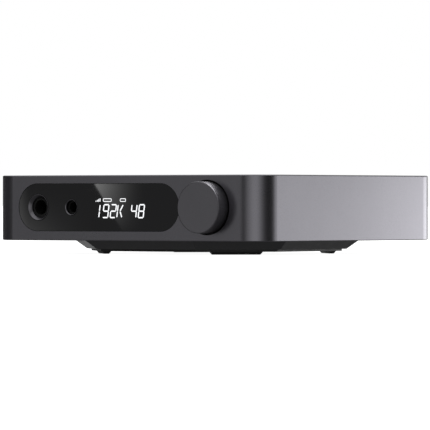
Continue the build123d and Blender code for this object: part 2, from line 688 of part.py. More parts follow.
def inductors():
    return group(chip(-4 + 9 * i, BAY_REAR - 4, 6.8, 6.8, 4.0) for i in range(2))


def converter_chips():
    """Receiver and converter chips, and a column of amplifier chips."""
    pieces = [chip(4, BAY_Y, 12.0, 12.0, 1.2), chip(18, BAY_Y, 7.0, 7.0, 1.0)]
    for i in range(4):
        pieces.append(chip(BAY_HALF - 4, BAY_FRONT + 4 + 8 * i, 5.0, 6.0, 1.6))
    return group(pieces)


def clock_crystals():
    return group(chip(2 + 9 * i, BAY_Y - 11, 5.0, 3.2, 1.3) for i in range(2))


def shield_can():
    """Tinned lid over the supply section, open underneath."""
    side, height, wall = 15.0, 4.4, 0.3
    outer = chip(8.5 - BAY_HALF, SHIELD_Y, side, side, height)
    return outer - chip(8.5 - BAY_HALF, SHIELD_Y, side - 2 * wall, side - 2 * wall, height - wall)


def board_headers():
    """Mating connectors of the two boards, joined by a ribbon."""
    y = BOARD_FRONT + 5
    lower = block((16, 32), (y, y + 4.5), (BOARD_TOP, BOARD_TOP + 5))
    wall = FRONT_BOARD_Y + BOARD_THICK
    upper = block((16, 32), (wall, wall + 4.0), (AXIS_Z + 3, AXIS_Z + 7.5))
    return group([lower, upper])


def ribbon_cable():
    """Flat ribbon from the front board's connector over to the main board's."""
    start = FRONT_BOARD_Y + BOARD_THICK + 4.0
    y = BOARD_FRONT + 5 + 2.25
    z = AXIS_Z + 5.25
    run = block((17, 31), (start, y + 0.5), (z - 0.5, z + 0.5))
    drop = block((17, 31), (y - 0.5, y + 0.5), (BOARD_TOP + 5, z - 0.5))
    return run + drop


def ring_leds():
    """Small lamps on the bracket, shining into the ring."""
    z = (AXIS_Z - 1.0, AXIS_Z + 1.0)
    y = (FRONT_Y + RING_BACK - 0.9, FRONT_Y + RING_BACK)
    reach = RING_INNER - RING_NUT_GAP / 2
    return group(block((KNOB_X + s * reach - 0.8, KNOB_X + s * reach + 0.8), y, z) for s in (-1, 1))


# ---------------------------------------------------------------- rear panel
def socket_places():
    """Middle of each socket along X, spread evenly over the rear opening."""
    widths = [DC_BLOCK[0], USB_SIZE[0] + 1.0, OPTICAL_BLOCK[0]] + [RCA_BLOCK[0]] * 3
    gap = (2 * OPENING_HALF - sum(widths)) / (len(widths) + 1)
    places = []
    x = -OPENING_HALF
    for width in widths:
        x += gap
        places.append(x + width / 2)
        x += width
    return places


DC_X, USB_X, OPTICAL_X, COAX_X, LINE_LEFT_X, LINE_RIGHT_X = socket_places()
RCA_PLACES = (COAX_X, LINE_LEFT_X, LINE_RIGHT_X)
PANEL_BACK = INNER_REAR
OUTER_FACE = PANEL_BACK + PANEL_THICK


def usb_outline(inset):
    return Pos(USB_X, SOCKET_Z) * SlotOverall(USB_SIZE[0] - 2 * inset, USB_SIZE[1] - 2 * inset)


def optical_outline(gap):
    width, _, height = OPTICAL_BLOCK
    outline = Rectangle(width - 2 * gap, height - 2 * gap)
    return Pos(OPTICAL_X, SOCKET_Z) * fillet(outline.vertices(), 1.0)


def rear_panel():
    """Panel held in the shell's groove, with a hole for each socket."""
    half = OPENING_HALF + PANEL_GROOVE - FIT_GAP
    z = (FLANGE_TOP, OPENING_TOP + PANEL_GROOVE / 2 - FIT_GAP)
    panel = block((-half, half), (PANEL_BACK, OUTER_FACE), z)
    for x in RCA_PLACES:
        panel -= rod_y(x, SOCKET_Z, RCA_RADIUS + FIT_GAP, PANEL_BACK, OUTER_FACE)
        panel -= rod_y(x, PANEL_SCREW_Z, PANEL_SCREW[2] + HEAD_GAP, PANEL_BACK, OUTER_FACE)
    panel -= prism_y(usb_outline(-FIT_GAP), PANEL_BACK, OUTER_FACE)
    panel -= prism_y(optical_outline(-FIT_GAP), PANEL_BACK, OUTER_FACE)
    return panel - rod_y(DC_X, SOCKET_Z, DC_NOSE + FIT_GAP, PANEL_BACK, OUTER_FACE)


def rca_housings():
    """Blocks on the main board that hold the round sockets."""
    width, depth, height = RCA_BLOCK
    low = BOARD_TOP
    pieces = []
    for x in RCA_PLACES:
        piece = block((x - width / 2, x + width / 2), (PANEL_BACK - depth, PANEL_BACK),
                      (low, low + height))
        piece -= rod_y(x, SOCKET_Z, RCA_RADIUS, PANEL_BACK - 6, PANEL_BACK)
        end = OUTER_FACE - PANEL_SCREW[3] - HEAD_GAP
        piece -= rod_y(x, PANEL_SCREW_Z, PANEL_SCREW[2] + THREAD_GAP, end, PANEL_BACK)
        pieces.append(piece)
    return group(pieces)


def panel_screws():
    place = Rot(90, 0, 0) * screw(PANEL_SCREW)
    return group(Pos(x, OUTER_FACE, PANEL_SCREW_Z) * place for x in RCA_PLACES)


def rca_barrels():
    """Outer contact sleeves, each with a collar against the panel."""
    pieces = []
    for x in RCA_PLACES:
        end = REAR_Y + RCA_OUT
        sleeve = tube_y(x, SOCKET_Z, RCA_RADIUS, RCA_BORE, PANEL_BACK - 6, end)
        sleeve += tube_y(x, SOCKET_Z, RCA_FLANGE, RCA_RADIUS, OUTER_FACE,
                         OUTER_FACE + RCA_FLANGE_THICK)
        pieces.append(sleeve)
    return group(pieces)


def rca_insulators():
    end = REAR_Y + RCA_OUT - 0.8
    return group(
        tube_y(x, SOCKET_Z, RCA_BORE, RCA_PIN_RADIUS, PANEL_BACK - 6, end) for x in RCA_PLACES
    )


def rca_contacts():
    end = REAR_Y + RCA_OUT - 1.2
    return group(
        tube_y(x, SOCKET_Z, RCA_PIN_RADIUS, RCA_PIN_BORE, PANEL_BACK - 6, end) for x in RCA_PLACES
    )


OPTICAL_FACE = OUTER_FACE + SOCKET_OUT
CAVITY_TOP = SOCKET_Z + OPTICAL_CAVITY[2] / 2
POCKET_HEIGHT = 2 * SHUTTER_PIVOT + 0.15 + SHUTTER_GAP
PIVOT_Z = CAVITY_TOP + 0.15 + SHUTTER_PIVOT
PIVOT_Y = OPTICAL_FACE - SHUTTER_DEPTH
SHUTTER_HALF = OPTICAL_CAVITY[0] / 2 - SHUTTER_GAP
ROD_HALF = OPTICAL_CAVITY[0] / 2 + SHUTTER_PIN


def rod_x(half, radius):
    """A round bar along the shutter's hinge line."""
    return Pos(OPTICAL_X, PIVOT_Y, PIVOT_Z) * Rot(0, 90, 0) * Cylinder(radius, 2 * half)


def optical_housing():
    """Socket block with the square cavity that an optical plug goes into."""
    width, depth, height = OPTICAL_BLOCK
    body = prism_y(optical_outline(0), PANEL_BACK - 1, OPTICAL_FACE)
    body += block(
        (OPTICAL_X - width / 2, OPTICAL_X + width / 2),
        (OPTICAL_FACE - depth, PANEL_BACK),
        (BOARD_TOP, SOCKET_Z + height / 2),
    )
    side = OPTICAL_CAVITY[0] / 2
    across = (OPTICAL_X - side, OPTICAL_X + side)
    end = OPTICAL_FACE - OPTICAL_CAVITY[1]
    low = CAVITY_TOP - OPTICAL_CAVITY[2]
    body -= block(across, (end, OPTICAL_FACE), (low, CAVITY_TOP))
    pocket = PIVOT_Y + SHUTTER_PIVOT + SHUTTER_GAP
    body -= block(across, (end, pocket), (CAVITY_TOP, CAVITY_TOP + POCKET_HEIGHT))
    return body - rod_x(ROD_HALF + 0.1, SHUTTER_PIVOT + SHAFT_FIT)


def optical_emitter():
    """Round light pipe at the back of the optical cavity."""
    back = OPTICAL_FACE - OPTICAL_CAVITY[1]
    return rod_y(OPTICAL_X, SOCKET_Z, 1.1, back, back + 1.2)


def optical_shutter():
    """Flap hung from a rod across the top of the cavity."""
    flap = block(
        (OPTICAL_X - SHUTTER_HALF, OPTICAL_X + SHUTTER_HALF),
        (PIVOT_Y - SHUTTER_THICK / 2, PIVOT_Y + SHUTTER_THICK / 2),
        (CAVITY_TOP - OPTICAL_CAVITY[2] + SHUTTER_GAP, PIVOT_Z),
    )
    return flap + rod_x(ROD_HALF, SHUTTER_PIVOT)


def usb_shell():
    """Metal shell of the USB-C receptacle, closed at the back."""
    face = OUTER_FACE + SOCKET_OUT
    shell = prism_y(usb_outline(0), face - USB_DEPTH, face)
    return shell - prism_y(usb_outline(USB_WALL), face - USB_DEPTH + 1.0, face)


def usb_tongue():
    width, depth, height = USB_TONGUE
    start = OUTER_FACE + SOCKET_OUT - USB_DEPTH + 1.0
    return block(
        (USB_X - width / 2, USB_X + width / 2),
        (start, start + depth),
        (SOCKET_Z - height / 2, SOCKET_Z + height / 2),
    )


def usb_base():
    """Small riser board that lifts the receptacle to the sockets' height."""
    back = OUTER_FACE + SOCKET_OUT - USB_DEPTH
    return block(
        (USB_X - USB_SIZE[0] / 2, USB_X + USB_SIZE[0] / 2),
        (back, PANEL_BACK - 0.3),
        (BOARD_TOP, SOCKET_Z - USB_SIZE[1] / 2),
    )


def dc_jack_body():
    """Power socket: block behind the panel with a round nose through it."""
    width, depth, height = DC_BLOCK
    face = OUTER_FACE + SOCKET_OUT
    body = rod_y(DC_X, SOCKET_Z, DC_NOSE, PANEL_BACK - 1, face)
    body += block(
        (DC_X - width / 2, DC_X + width / 2),
        (PANEL_BACK - depth, PANEL_BACK),
        (BOARD_TOP, SOCKET_Z + height / 2),
    )
    return body - rod_y(DC_X, SOCKET_Z, DC_BORE, face - DC_PIN_DEPTH - 0.5, face)


def dc_jack_pin():
    face = OUTER_FACE + SOCKET_OUT
    return rod_y(DC_X, SOCKET_Z, DC_PIN, face - DC_PIN_DEPTH - 0.5, face - 0.8)


# ---------------------------------------------------------------- output
PIECES = {
    "top_shell": top_shell,
    "base_pan": base_pan,
    "base_plate": base_plate,
    "feet": feet,
    "base_screws": base_screws,
    "plate_screws": plate_screws,
    "front_window": front_window,
    "window_gasket": window_gasket,
    "display_panel": display_panel,
    "display_backlight": display_backlight,
    "display_holder": display_holder,
    "front_board": front_board,
    "light_ring": light_ring,
    "ring_leds": ring_leds,
    "encoder_bracket": encoder_bracket,
    "bracket_screws": bracket_screws,
    "encoder_nut": encoder_nut,
    "encoder_bushing": encoder_bushing,
    "encoder_housing": encoder_housing,
    "switch_dome": switch_dome,
    "press_plunger": press_plunger,
    "encoder_shaft": encoder_shaft,
    "encoder_rotor": encoder_rotor,
    "volume_knob": volume_knob,
    "main_board": main_board,
    "board_screws": board_screws,
    "capacitors": capacitors,
    "film_capacitors": film_capacitors,
    "relays": relays,
    "inductors": inductors,
    "converter_chips": converter_chips,
    "clock_crystals": clock_crystals,
    "shield_can": shield_can,
    "board_headers": board_headers,
    "ribbon_cable": ribbon_cable,
    "rear_panel": rear_panel,
    "panel_screws": panel_screws,
    "rca_housings": rca_housings,
    "rca_barrels": rca_barrels,
    "rca_insulators": rca_insulators,
    "rca_contacts": rca_contacts,
    "optical_housing": optical_housing,
    "optical_emitter": optical_emitter,
    "optical_shutter": optical_shutter,
    "usb_shell": usb_shell,
    "usb_tongue": usb_tongue,
    "usb_base": usb_base,
    "dc_jack_body": dc_jack_body,
    "dc_jack_pin": dc_jack_pin,
}

# Place along X, collar, mouth, bore, half-width of the block and its length
JACKS = {
    "jack_635": (JACK_635_X, JACK_635_COLLAR, JACK_635_MOUTH, JACK_635_BORE, JACK_635_HALF,
                 JACK_635_LENGTH),
    "jack_44": (JACK_44_X, JACK_44_COLLAR, JACK_44_MOUTH, JACK_44_BORE, JACK_44_HALF,
                JACK_44_LENGTH),
}

os.makedirs("parts", exist_ok=True)
for name, make in PIECES.items():
    write(name, make())
for name, (x, collar, mouth, bore, half, length) in JACKS.items():
    write(name + "_collar", jack_collar(x, collar, mouth, bore))
    write(name + "_body", jack_body(x, collar, bore, half, length))
    write(name + "_contacts", jack_contacts(x, bore, half, length))
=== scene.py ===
from math import atan2, cos, pi, radians, sin, sqrt

import bmesh
import bpy
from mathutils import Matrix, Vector


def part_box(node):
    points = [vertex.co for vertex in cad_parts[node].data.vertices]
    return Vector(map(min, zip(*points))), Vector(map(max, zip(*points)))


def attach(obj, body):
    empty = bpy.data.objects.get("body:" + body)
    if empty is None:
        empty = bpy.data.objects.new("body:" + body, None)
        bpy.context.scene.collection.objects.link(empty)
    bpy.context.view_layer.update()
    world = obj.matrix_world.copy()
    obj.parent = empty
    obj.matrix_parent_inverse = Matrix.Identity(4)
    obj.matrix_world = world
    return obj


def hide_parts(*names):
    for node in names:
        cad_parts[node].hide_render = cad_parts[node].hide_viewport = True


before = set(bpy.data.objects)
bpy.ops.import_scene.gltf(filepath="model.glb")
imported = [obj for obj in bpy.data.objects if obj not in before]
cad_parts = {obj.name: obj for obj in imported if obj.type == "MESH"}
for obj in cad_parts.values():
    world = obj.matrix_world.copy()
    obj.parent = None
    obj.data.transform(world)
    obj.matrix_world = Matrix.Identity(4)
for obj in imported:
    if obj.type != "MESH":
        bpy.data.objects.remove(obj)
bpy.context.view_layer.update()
MM = 0.001

# ------------------------------------------------------------------ places from the frame
SHELL_LOW, SHELL_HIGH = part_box("top_shell")
KNOB_LOW, KNOB_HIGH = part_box("volume_knob")
PANE_LOW, PANE_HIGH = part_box("front_window")
FEET_LOW, FEET_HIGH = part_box("feet")
KNOB_X = (KNOB_LOW.x + KNOB_HIGH.x) / 2
AXIS_Z = (KNOB_LOW.z + KNOB_HIGH.z) / 2
KNOB_RADIUS = (KNOB_HIGH.x - KNOB_LOW.x) / 2
BODY_Y = (SHELL_LOW.y + SHELL_HIGH.y) / 2

# Places along X between the three round sockets at the back
COAX_LEFT_SPLIT, LEFT_RIGHT_SPLIT = 16.2 * MM, 34.9 * MM


# ------------------------------------------------------------------ shader expressions
class Wire:
    """A shader value. Arithmetic on it adds Math nodes to its tree."""

    def __init__(self, graph, socket):
        self.graph = graph
        self.socket = socket

    def math(self, operation, *values):
        return self.graph.add("ShaderNodeMath", {"operation": operation}, dict(enumerate(values)))

    def __add__(self, other):
        return self.math("ADD", self, other)

    def __radd__(self, other):
        return self.math("ADD", other, self)

    def __sub__(self, other):
        return self.math("SUBTRACT", self, other)

    def __rsub__(self, other):
        return self.math("SUBTRACT", other, self)

    def __mul__(self, other):
        return self.math("MULTIPLY", self, other)

    def __truediv__(self, other):
        return self.math("DIVIDE", self, other)

    def __pow__(self, other):
        return self.math("POWER", self, other)

    def __neg__(self):
        return self.math("MULTIPLY", self, -1)

    def absolute(self):
        return self.math("ABSOLUTE", self)

    def over(self, limit):
        return self.math("GREATER_THAN", self, limit)

    def under(self, limit):
        return self.math("LESS_THAN", self, limit)

    def at_least(self, limit):
        return self.math("MAXIMUM", self, limit)

    def at_most(self, limit):
        return self.math("MINIMUM", self, limit)


class Graph:
    """A node tree and the few ways in which nodes are added to it."""

    def __init__(self, tree):
        self.tree = tree

    def add(self, kind, settings=None, sockets=None, output=0):
        """A node of one type: its settings first, then the values or links of its sockets."""
        node = self.tree.nodes.new(kind)
        for name, value in (settings or {}).items():
            if name == "stops":
                self.set_stops(node.color_ramp, value)
            else:
                setattr(node, name, value)
        for name, value in (sockets or {}).items():
            if isinstance(value, Wire):
                self.tree.links.new(value.socket, node.inputs[name])
            else:
                node.inputs[name].default_value = value
        return None if output is None else Wire(self, node.outputs[output])

    def set_stops(self, ramp, stops):
        while len(ramp.elements) < len(stops):
            ramp.elements.new(1.0)
        for element, (place, colour) in zip(ramp.elements, stops):
            element.position = place
            element.color = (*colour, 1.0)

    def place(self):
        return self.add("ShaderNodeTexCoord", output="Object")

    def axis(self, vector, letter):
        return self.add("ShaderNodeSeparateXYZ", None, {0: vector}, output=letter)

    def noise(self, vector, scale, detail=2.0, roughness=0.5):
        sockets = {"Vector": vector, "Scale": scale, "Detail": detail, "Roughness": roughness}
        return self.add("ShaderNodeTexNoise", None, sockets)

    def cells(self, vector, scale, feature="F1"):
        sockets = {"Vector": vector, "Scale": scale}
        return self.add("ShaderNodeTexVoronoi", {"feature": feature}, sockets)

    def stretch(self, vector, scale):
        return self.add("ShaderNodeMapping", None, {"Vector": vector, "Scale": scale})

    def ramp(self, value, stops):
        return self.add("ShaderNodeValToRGB", {"stops": stops}, {0: value})

    def blend(self, factor, first, second):
        sockets = {0: factor, 6: as_colour(first), 7: as_colour(second)}
        return self.add("ShaderNodeMix", {"data_type": "RGBA"}, sockets, output=2)

    def bump(self, height, strength, distance):
        sockets = {"Height": height, "Strength": strength, "Distance": distance}
        return self.add("ShaderNodeBump", None, sockets)


def as_colour(value):
    return value if isinstance(value, Wire) else (*value, 1.0)


def surface(name, colour, roughness, metallic=0.0, bump=None, **fixed):
    """A Principled material. Its inputs are constants or functions of its graph."""
    material = bpy.data.materials.new(name)
    material.use_nodes = True
    graph = Graph(material.node_tree)
    shader = material.node_tree.nodes["Principled BSDF"]
    inputs = {"Base Color": colour, "Roughness": roughness, "Metallic": metallic, "Normal": bump}
    inputs.update(fixed)
    for socket, value in inputs.items():
        if value is None:
            continue
        if callable(value):
            value = value(graph)
        if isinstance(value, Wire):
            material.node_tree.links.new(value.socket, shader.inputs[socket])
        elif isinstance(value, tuple):
            shader.inputs[socket].default_value = as_colour(value)
        else:
            shader.inputs[socket].default_value = value
    return material


# ------------------------------------------------------------------ materials
def blasted_metal(name, dark, light, roughness, grip_from=None):
    """Bead-blasted, anodised aluminium: fine bright specks, faint cloudiness, rubbed patches.

    Behind grip_from along Y it is duller, as the knurled grip of a knob is, and its colour darkens
    towards the rear as painted shade.
    """

    def tone(g):
        speck = g.noise(g.place(), 3200, 2.0, 0.7)
        cloud = g.noise(g.place(), 38, 3.0)
        bare = g.blend((speck * 0.75 + cloud * 0.25 - 0.18) * 1.45, dark, light)
        if grip_from is None:
            return bare
        # Painted shade: the colour darkens to half over 7 mm behind grip_from, towards the rear of
        # the knob.
        depth = ((g.axis(g.place(), "Y") - grip_from) / (7 * MM)).at_least(0).at_most(1)
        return g.blend(depth, bare, tuple(0.5 * channel for channel in dark))

    def gloss(g):
        speck = g.noise(g.place(), 5200, 1.0)
        rubbed = g.noise(g.place(), 22, 4.0, 0.6)
        level = roughness + (speck - 0.5) * 0.12 + (rubbed - 0.5) * 0.06
        if grip_from is None:
            return level
        return level + g.axis(g.place(), "Y").over(grip_from) * 0.19

    def grain(g):
        return g.bump(g.noise(g.place(), 5200, 2.0, 0.65), 0.3, 0.00001)

    return surface(name, tone, gloss, 1.0, grain)


def moulded(name, dark, light, roughness, texture=2600, depth=0.00003):
    """Injection-moulded plastic with a spark-eroded texture."""

    def tone(g):
        return g.blend(g.noise(g.place(), 60, 4.0), dark, light)

    def gloss(g):
        return roughness + (g.noise(g.place(), 340, 3.0) - 0.5) * 0.14

    def grain(g):
        return g.bump(g.noise(g.place(), texture, 2.0), 0.5, depth)

    return surface(name, tone, gloss, 0.0, grain)


def powder_coat(name, dark, light):
    """Fine powder coat, slightly pebbled."""

    def tone(g):
        return g.blend(g.noise(g.place(), 90, 3.0), dark, light)

    def gloss(g):
        return 0.5 + (g.noise(g.place(), 260, 2.0) - 0.5) * 0.2

    def pebbles(g):
        return g.bump(g.cells(g.place(), 1500), 0.35, 0.00005)

    return surface(name, tone, gloss, 0.0, pebbles)


def polished_black(name):
    """Polished black pane: faint haze and wipe marks in its gloss."""

    def gloss(g):
        wipes = g.noise(g.stretch(g.place(), (14, 1, 90)), 3.0, 4.0)
        return 0.02 + (wipes * g.noise(g.place(), 55, 3.0)) * 0.04

    def tone(g):
        return g.blend(g.noise(g.place(), 25, 2.0), (0.004, 0.004, 0.005), (0.007, 0.007, 0.009))

    def waviness(g):
        return g.bump(g.noise(g.place(), 70, 1.0), 0.01, 0.00002)

    return surface(name, tone, gloss, 0.0, waviness, **{"Specular IOR Level": 0.34})


def rubber_black(name):
    """Dull black rubber with a little dust."""

    def tone(g):
        dust = g.noise(g.place(), 700, 4.0, 0.7)
        return g.blend((dust - 0.45) * 1.4, (0.008, 0.008, 0.008), (0.022, 0.021, 0.020))

    def gloss(g):
        return 0.78 + (g.noise(g.place(), 900, 2.0) - 0.5) * 0.2

    def grain(g):
        return g.bump(g.noise(g.place(), 2300, 3.0), 0.5, 0.00005)

    return surface(name, tone, gloss, 0.0, grain)


def plated(name, dark, light, roughness):
    """Plated metal: soft tarnish in the colour and fine turning lines in the gloss."""

    def tone(g):
        return g.blend(g.noise(g.place(), 420, 3.0), dark, light)

    def gloss(g):
        lines = g.noise(g.stretch(g.place(), (1, 30, 1)), 260, 2.0)
        return roughness + (lines - 0.5) * 0.18

    def grain(g):
        return g.bump(g.noise(g.stretch(g.place(), (1, 24, 1)), 300, 2.0), 0.12, 0.00003)

    return surface(name, tone, gloss, 1.0, grain)


def circuit_board(name):
    """Green solder mask with copper tracks that show through as lighter lines."""

    def tone(g):
        track = g.cells(g.place(), 210, "DISTANCE_TO_EDGE").under(0.05)
        pad = g.cells(g.place(), 400).under(0.16)
        mask = g.blend(track, (0.012, 0.060, 0.030), (0.030, 0.120, 0.055))
        return g.blend(pad, mask, (0.62, 0.56, 0.40))

    def gloss(g):
        return 0.34 + (g.noise(g.place(), 500, 2.0) - 0.5) * 0.15

    def relief(g):
        return g.bump(g.cells(g.place(), 210, "DISTANCE_TO_EDGE"), 0.2, 0.00004)

    return surface(name, tone, gloss, 0.0, relief)


def socket_colours(name):
    """Moulded rings of the round sockets: amber for digital, white for left, red for right."""

    def tone(g):
        across = g.axis(g.place(), "X")
        wear = g.noise(g.place(), 300, 3.0)
        white = g.blend(wear, (0.60, 0.60, 0.58), (0.74, 0.74, 0.72))
        red = g.blend(wear, (0.42, 0.014, 0.012), (0.55, 0.026, 0.020))
        amber = g.blend(wear, (0.60, 0.19, 0.015), (0.72, 0.26, 0.03))
        left_or_digital = g.blend(across.under(COAX_LEFT_SPLIT), white, amber)
        return g.blend(across.over(LEFT_RIGHT_SPLIT), left_or_digital, red)

    def gloss(g):
        return 0.36 + (g.noise(g.place(), 340, 3.0) - 0.5) * 0.14

    def grain(g):
        return g.bump(g.noise(g.place(), 2600, 2.0), 0.4, 0.00002)

    return surface(name, tone, gloss, 0.0, grain)


def read_out_white(name):
    """Lit segments: a slightly uneven cool white."""

    def shine(g):
        return g.blend(g.noise(g.place(), 400, 2.0), (0.86, 0.90, 0.93), (1.0, 1.0, 1.0))

    def gloss(g):
        return 0.3 + g.noise(g.place(), 900) * 0.1

    fixed = {"Emission Color": shine, "Emission Strength": 0.95}
    return surface(name, (0.8, 0.82, 0.84), gloss, 0.0, None, **fixed)


SHELL_METAL = blasted_metal("shell_anodised", (0.195, 0.191, 0.209), (0.275, 0.269, 0.294), 0.29)
GRIP_FROM = KNOB_LOW.y + 0.1 * MM
KNOB_METAL = blasted_metal(
    "knob_anodised", (0.195, 0.191, 0.207), (0.280, 0.274, 0.298), 0.30, GRIP_FROM
)
WINDOW_BLACK = polished_black("window_polished")
PAN_PLASTIC = moulded("pan_textured", (0.042, 0.042, 0.045), (0.060, 0.060, 0.064), 0.48)
SOCKET_PLASTIC = moulded("socket_plastic", (0.012, 0.012, 0.013), (0.022, 0.022, 0.023), 0.42)
RING_METAL = blasted_metal("ring_anodised", (0.12, 0.118, 0.128), (0.19, 0.186, 0.202), 0.30)
PLATE_PAINT = powder_coat("plate_paint", (0.008, 0.008, 0.009), (0.016, 0.016, 0.017))
PANEL_PAINT = powder_coat("panel_paint", (0.020, 0.020, 0.022), (0.032, 0.032, 0.035))
FOOT_RUBBER = rubber_black("foot_rubber_black")
GOLD = plated("gold_plate", (0.68, 0.45, 0.14), (0.82, 0.60, 0.25), 0.24)
NICKEL = plated("nickel_plate", (0.46, 0.45, 0.43), (0.62, 0.61, 0.58), 0.26)
BLACK_STEEL = plated("blackened_steel", (0.035, 0.035, 0.038), (0.085, 0.085, 0.090), 0.36)
TIN = plated("tinned_steel", (0.50, 0.50, 0.51), (0.66, 0.66, 0.67), 0.32)
WHITE_PLASTIC = moulded("white_plastic", (0.62, 0.62, 0.60), (0.74, 0.74, 0.72), 0.38)
SOCKET_COLOURS = socket_colours("socket_colours")
# Jack bodies: black plastic, made darker than the other black plastic as painted shade, so the jack
# holes read as even shadow.
SOCKET_BLACK = moulded("socket_black", (0.002, 0.002, 0.002), (0.005, 0.005, 0.005), 0.6)
# Near-black diffuser for the light ring: its dark colour is painted shade in the gap round the
# knob.
SHADE_DIFFUSER = moulded("diffuser_painted_shade", (0.004, 0.004, 0.005), (0.008, 0.008, 0.009), 0.45)
MILKY = moulded("milky_diffuser", (0.55, 0.55, 0.56), (0.68, 0.68, 0.69), 0.30)
BOARD = circuit_board("solder_mask")
LIT = read_out_white("lit_segments")
DIPPED_FILM = moulded("dipped_film", (0.34, 0.045, 0.03), (0.46, 0.07, 0.04), 0.25)
RIBBON_TAPE = moulded("ribbon_tape", (0.60, 0.60, 0.58), (0.72, 0.72, 0.70), 0.5)
DARK_GLASS = moulded("display_glass", (0.006, 0.006, 0.008), (0.010, 0.010, 0.012), 0.1)

NODE_FINISH = {
    DIPPED_FILM: ["film_capacitors"],
    RIBBON_TAPE: ["ribbon_cable"],
    DARK_GLASS: ["display_panel"],
    SHELL_METAL: ["top_shell"],
    PAN_PLASTIC: ["base_pan"],
    PLATE_PAINT: ["base_plate"],
    PANEL_PAINT: ["rear_panel"],
    BLACK_STEEL: ["base_screws", "plate_screws", "panel_screws", "bracket_screws"],
    TIN: ["board_screws", "encoder_bracket", "encoder_shaft", "switch_dome", "shield_can",
          "clock_crystals", "usb_shell"],
    NICKEL: ["encoder_nut", "encoder_bushing", "dc_jack_pin"],
    GOLD: ["encoder_rotor", "jack_635_contacts", "jack_44_contacts", "rca_contacts"],
    BOARD: ["main_board", "front_board", "usb_base"],
    MILKY: ["ring_leds", "optical_emitter", "display_backlight"],
    WHITE_PLASTIC: ["press_plunger", "relays", "board_headers"],
    SOCKET_COLOURS: ["rca_insulators"],
    FOOT_RUBBER: ["window_gasket"],
    SHADE_DIFFUSER: ["light_ring"],
    SOCKET_BLACK: ["jack_635_body", "jack_44_body"],
    SOCKET_PLASTIC: ["display_holder", "encoder_housing",
                     "rca_housings", "optical_housing", "usb_tongue", "dc_jack_body",
                     "optical_shutter", "converter_chips", "inductors", "capacitors"],
}


def finish_nodes():
    """Gives each carried-over node its material."""
    for material, names in NODE_FINISH.items():
        for name in names:
            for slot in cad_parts[name].material_slots:
                slot.material = material


# ------------------------------------------------------------------ modelling by hand
def deselect():
    bpy.ops.object.select_all(action="DESELECT")


def only(piece):
    deselect()
    piece.select_set(True)
    bpy.context.view_layer.objects.active = piece


def choose(piece, kind, test):
    """In edit mode, selects the verts, edges or faces that pass a test, and nothing else."""
    bpy.ops.mesh.select_mode(type=kind)
    bpy.ops.mesh.select_all(action="DESELECT")
    mesh = bmesh.from_edit_mesh(piece.data)
    items = {"VERT": mesh.verts, "EDGE": mesh.edges, "FACE": mesh.faces}[kind]
    for item in items:
        item.select_set(test(item))
    mesh.select_flush_mode()
    bmesh.update_edit_mesh(piece.data)


def along(edge, axis):
    """True for an edge that runs along the axis numbered 0, 1 or 2."""
    way = (edge.verts[1].co - edge.verts[0].co).normalized()
    return abs(way[axis]) > 0.999


def cuboid(low, high):
    """A cube primitive set between two corners, with its place in its mesh."""
    deselect()
    low, high = Vector(low), Vector(high)
    bpy.ops.mesh.primitive_cube_add(size=1, location=(low + high) / 2)
    piece = bpy.context.object
    piece.scale = high - low
    bpy.ops.object.transform_apply(location=True, rotation=True, scale=True)
    return piece


def turned(x, z, profile, sides=96):
    """A piece turned about a line along Y: rings (radius, place), each extruded from the last."""
    deselect()
    radius, y = profile[0]
    bpy.ops.mesh.primitive_circle_add(
        vertices=sides, radius=radius, location=(x, y, z), rotation=(pi / 2, 0, 0)
    )
    piece = bpy.context.object
    bpy.ops.object.transform_apply(location=True, rotation=True, scale=True)
    bpy.ops.object.mode_set(mode="EDIT")
    bpy.ops.mesh.select_mode(type="EDGE")
    bpy.ops.mesh.select_all(action="SELECT")
    for next_radius, next_y in profile[1:]:
        move = {"value": (0, next_y - y, 0)}
        bpy.ops.mesh.extrude_region_move(TRANSFORM_OT_translate=move)
        scale = next_radius / radius
        centre = (x, next_y, z)
        bpy.ops.transform.resize(value=(scale, 1, scale), center_override=centre)
        radius, y = next_radius, next_y
    choose(piece, "EDGE", lambda edge: edge.is_boundary)
    if profile[0] == profile[-1]:
        bpy.ops.mesh.select_all(action="SELECT")
        bpy.ops.mesh.remove_doubles(threshold=1e-7)
    else:
        bpy.ops.mesh.edge_face_add()
    bpy.ops.mesh.select_all(action="SELECT")
    bpy.ops.mesh.normals_make_consistent(inside=False)
    bpy.ops.object.mode_set(mode="OBJECT")
    return piece


def apply(piece, kind, **settings):
    """Adds a modifier, sets it and applies it."""
    only(piece)
    modifier = piece.modifiers.new(kind.lower(), kind)
    for name, value in settings.items():
        setattr(modifier, name, value)
    bpy.ops.object.modifier_apply(modifier=modifier.name)


def ease_edges(piece, width, segments=3, angle=30):
    apply(piece, "BEVEL", width=width, segments=segments, limit_method="ANGLE",
          angle_limit=radians(angle), harden_normals=False)


def drill(piece, x, z, radius, low_y, high_y, sides=96):
    """Cuts a round hole along Y."""
    deselect()
    bpy.ops.mesh.primitive_cylinder_add(
        vertices=sides, radius=radius, depth=high_y - low_y,
        location=(x, (low_y + high_y) / 2, z), rotation=(pi / 2, 0, 0),
    )
    cutter = bpy.context.object
    apply(piece, "BOOLEAN", object=cutter, operation="DIFFERENCE", solver="EXACT")
    bpy.data.objects.remove(cutter)


def merge(pieces):
    deselect()
    for piece in pieces:
        piece.select_set(True)
    bpy.context.view_layer.objects.active = pieces[0]
    bpy.ops.object.join()
    return pieces[0]


def hand_over(piece, name, material, body="chassis", angle=32, replaces=()):
    """Names a finished piece, shades it smooth by angle, gives it its material, hides the nodes it
    replaces and parents it to the empty of the body it rides on.
    """
    only(piece)
    piece.name = name
    piece.data.name = name
    bpy.ops.object.shade_smooth_by_angle(angle=radians(angle))
    piece.data.materials.clear()
    piece.data.materials.append(material)
    if replaces:
        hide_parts(*replaces)
    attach(piece, body)
    return piece


